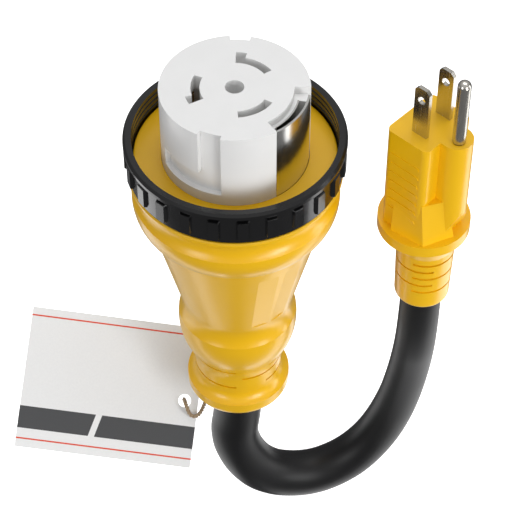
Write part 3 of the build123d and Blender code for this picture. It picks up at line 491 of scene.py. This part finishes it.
tag_mesh = bpy.data.meshes.new("card")
sheet = bmesh.new()
corner_angles = [
    math.atan2(sy * TAG_HEIGHT / 2 - TAG_HOLE[1], sx * TAG_WIDTH / 2 - TAG_HOLE[0])
    for sx in (-1, 1) for sy in (-1, 1)
]
even_angles = [round(math.tau * i / TAG_SPOKES - math.pi, 6) for i in range(TAG_SPOKES)]
angles = sorted(set(even_angles + corner_angles))
rings = []
for step in range(TAG_STEPS + 1):
    ring = []
    for angle in angles:
        x, y = math.cos(angle), math.sin(angle)
        grown = (step / TAG_STEPS) ** TAG_STEP_GROWTH
        reach = TAG_HOLE_RADIUS + (card_outline(x, y) - TAG_HOLE_RADIUS) * grown
        local_x, local_y = TAG_HOLE[0] + x * reach, TAG_HOLE[1] + y * reach
        bow = TAG_BOW * (1 - (2 * local_x / TAG_WIDTH) ** 2) - TAG_BOW / 2
        ring.append((local_x, local_y, bow))
    rings.append(ring)


def card_point(x, y, z):
    """A point given across, up and out of the card, in the frame."""
    return Vector(TAG_CENTRE) + tag_across * x + tag_up * y + tag_normal * z


faces_uv = sheet.loops.layers.uv.new("card")
sides = []
for lift in (TAG_THICKNESS / 2, -TAG_THICKNESS / 2):
    sides.append([
        [sheet.verts.new(card_point(x, y, z + lift)) for x, y, z in ring] for ring in rings
    ])
count = len(angles)
for side, grid in enumerate(sides):
    for step in range(TAG_STEPS):
        for i in range(count):
            j = (i + 1) % count
            corners = [grid[step][i], grid[step + 1][i], grid[step + 1][j], grid[step][j]]
            sheet.faces.new(corners if side == 0 else corners[::-1])
for step in (0, TAG_STEPS):
    for i in range(count):
        j = (i + 1) % count
        corners = [sides[0][step][i], sides[0][step][j], sides[1][step][j], sides[1][step][i]]
        sheet.faces.new(corners if step == 0 else corners[::-1])
for face in sheet.faces:
    for loop in face.loops:
        offset = loop.vert.co - Vector(TAG_CENTRE)
        loop[faces_uv].uv = (offset.dot(tag_across) * 10 + 0.5, offset.dot(tag_up) * 10 + 0.5)
sheet.to_mesh(tag_mesh)
sheet.free()
tag = bpy.data.objects.new("card_tag", tag_mesh)
bpy.context.scene.collection.objects.link(tag)

board, tree, shader = new_finish(
    "coated_board_white", IOR=1.47, **{"Specular IOR Level": 0.35}
)
card_place = add_node(tree, "ShaderNodeUVMap", {"uv_map": "card"})
split = add_node(tree, "ShaderNodeSeparateXYZ", links={"Vector": card_place.outputs["UV"]})
# the UV map is the card's own metres, times ten, about its middle
to_metres = {"operation": "MULTIPLY_ADD", 1: 0.1, 2: -0.05}
across = add_node(tree, "ShaderNodeMath", to_metres, {0: split.outputs["X"]})
upward = add_node(tree, "ShaderNodeMath", to_metres, {0: split.outputs["Y"]})
fibre = add_node(
    tree, "ShaderNodeTexNoise", {"Scale": 1 / 0.0008, "Detail": 3.0},
    {"Vector": add_node(tree, "ShaderNodeTexCoord").outputs["Object"]},
)


def printed_strip(low, high, value):
    """1 where a value lies between two limits, else 0."""
    middle, half = (low + high) / 2, (high - low) / 2
    away = add_node(tree, "ShaderNodeMath", {"operation": "SUBTRACT", 1: middle}, {0: value})
    return add_node(
        tree, "ShaderNodeMath", {"operation": "COMPARE", 1: 0.0, 2: half}, {0: away.outputs[0]}
    ).outputs[0]


half_rule = RULE_WIDTH / 2
top_rule = printed_strip(RULE_TOP - half_rule, RULE_TOP + half_rule, upward.outputs[0])
bottom_rule = printed_strip(RULE_BOTTOM - half_rule, RULE_BOTTOM + half_rule, upward.outputs[0])
rules = add_node(tree, "ShaderNodeMath", {"operation": "MAXIMUM"}, {0: top_rule, 1: bottom_rule})
band = printed_strip(BAND_BOTTOM, BAND_TOP, upward.outputs[0])
band_middle = (BAND_TOP + BAND_BOTTOM) / 2
lean = add_node(
    tree, "ShaderNodeMath",
    {"operation": "MULTIPLY_ADD", 1: -BAND_GAP_SLANT, 2: BAND_GAP_SLANT * band_middle},
    {0: upward.outputs[0]},
)
along = add_node(
    tree, "ShaderNodeMath", {"operation": "ADD"}, {0: across.outputs[0], 1: lean.outputs[0]}
)
half_gap = BAND_GAP_WIDTH / 2
gap = printed_strip(BAND_GAP - half_gap, BAND_GAP + half_gap, along.outputs[0])
ink = add_node(
    tree, "ShaderNodeMath", {"operation": "SUBTRACT", "use_clamp": True}, {0: band, 1: gap}
)
paper_tone = add_node(tree, "ShaderNodeValToRGB", links={"Fac": fibre.outputs["Fac"]})
paper_tone.color_ramp.elements[0].color = linear("E2E3E4")
paper_tone.color_ramp.elements[1].color = linear("EAEBEB")
with_rules = add_node(
    tree, "ShaderNodeMix", {"data_type": "RGBA", 7: linear("D8492F")},
    {0: rules.outputs[0], 6: paper_tone.outputs["Color"]},
)
with_band = add_node(
    tree, "ShaderNodeMix", {"data_type": "RGBA", 7: linear("4A4B4D")},
    {0: ink.outputs[0], 6: with_rules.outputs[2]},
)
gloss = add_node(
    tree, "ShaderNodeMapRange", {"To Min": 0.42, "To Max": 0.58}, {"Value": fibre.outputs["Fac"]}
)
relief = add_node(
    tree, "ShaderNodeBump", {"Strength": 0.08, "Distance": 0.00003},
    {"Height": fibre.outputs["Fac"]},
)
tree.links.new(with_band.outputs[2], shader.inputs["Base Color"])
tree.links.new(gloss.outputs["Result"], shader.inputs["Roughness"])
tree.links.new(relief.outputs["Normal"], shader.inputs["Normal"])
tag_mesh.materials.append(board)
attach(tag, "tag")
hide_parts("hang_tag")

# ---------------------------------------------------------------------------
# Twine
# Three-ply cotton twine, 1.7 mm thick, one turn every 4.5 mm. It passes
# through the card's hole and once round the cable under the boot's lip.
# It sits a little wider than the cable so that it turns freely.
# ---------------------------------------------------------------------------

TWINE_DIAMETER = 0.0017
TWINE_TURN = 0.0045
PLY_COUNT = 3
PLY_RADIUS = TWINE_DIAMETER / 4.2
PLY_OFFSET = TWINE_DIAMETER / 2 - PLY_RADIUS
PLY_SIDES = 8
TWINE_ROUTE = [
    (-0.0224, 0.0026, -0.1763),
    (-0.0215, -0.0046, -0.1685),
    (-0.0196, -0.0084, -0.1739),
    (-0.0156, -0.0066, -0.1752),
    (-0.0130, 0.0039, -0.1762),
    (-0.0011, 0.0135, -0.1730),
    (0.0109, 0.0077, -0.1690),
    (0.0113, -0.0052, -0.1650),
    (0.0010, -0.0125, -0.1616),
    (-0.0076, -0.0088, -0.1604),
]

line = route_curve("twine_line", TWINE_ROUTE, 0.0)
line_mesh = bpy.data.meshes.new_from_object(line)
path = [v.co.copy() for v in line_mesh.vertices]
bpy.data.objects.remove(line)
bpy.data.meshes.remove(line_mesh)

twine_mesh = bpy.data.meshes.new("twine")
strands = bmesh.new()
walked = 0.0
across_dir = Vector((0, 0, 1))
previous = [None] * PLY_COUNT
for index, point in enumerate(path):
    ahead = path[min(index + 1, len(path) - 1)]
    behind = path[max(index - 1, 0)]
    forward = (ahead - behind).normalized()
    if index:
        walked += (point - path[index - 1]).length
    across_dir = (across_dir - forward * across_dir.dot(forward)).normalized()
    side_dir = forward.cross(across_dir)
    for ply in range(PLY_COUNT):
        turn = math.tau * (walked / TWINE_TURN + ply / PLY_COUNT)
        centre = point + (across_dir * math.cos(turn) + side_dir * math.sin(turn)) * PLY_OFFSET
        ring = []
        for i in range(PLY_SIDES):
            angle = math.tau * i / PLY_SIDES
            ring.append(strands.verts.new(
                centre + (across_dir * math.cos(angle) + side_dir * math.sin(angle)) * PLY_RADIUS
            ))
        if previous[ply]:
            for i in range(PLY_SIDES):
                j = (i + 1) % PLY_SIDES
                strands.faces.new([previous[ply][i], previous[ply][j], ring[j], ring[i]])
        else:
            strands.faces.new(ring[::-1])
        previous[ply] = ring
for ring in previous:
    strands.faces.new(ring)
bmesh.ops.recalc_face_normals(strands, faces=strands.faces)
strands.to_mesh(twine_mesh)
strands.free()
for polygon in twine_mesh.polygons:
    polygon.use_smooth = len(polygon.vertices) == 4
twine = bpy.data.objects.new("cotton_twine", twine_mesh)
bpy.context.scene.collection.objects.link(twine)

cotton, tree, shader = new_finish("twisted_cotton_tan", **{"Sheen Weight": 0.3})
place = add_node(tree, "ShaderNodeTexCoord")
fuzz = add_node(
    tree, "ShaderNodeTexNoise", {"Scale": 1 / 0.0005, "Detail": 4.0},
    {"Vector": place.outputs["Object"]},
)
shade = add_node(tree, "ShaderNodeValToRGB", links={"Fac": fuzz.outputs["Fac"]})
shade.color_ramp.elements[0].color = linear("8A7258")
shade.color_ramp.elements[1].color = linear("C2AB8A")
gloss = add_node(
    tree, "ShaderNodeMapRange", {"To Min": 0.75, "To Max": 0.95}, {"Value": fuzz.outputs["Fac"]}
)
relief = add_node(
    tree, "ShaderNodeBump", {"Strength": 0.5, "Distance": 0.0001}, {"Height": fuzz.outputs["Fac"]}
)
tree.links.new(shade.outputs["Color"], shader.inputs["Base Color"])
tree.links.new(gloss.outputs["Result"], shader.inputs["Roughness"])
tree.links.new(relief.outputs["Normal"], shader.inputs["Normal"])
twine_mesh.materials.append(cotton)
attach(twine, "tag")
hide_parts("tag_twine")
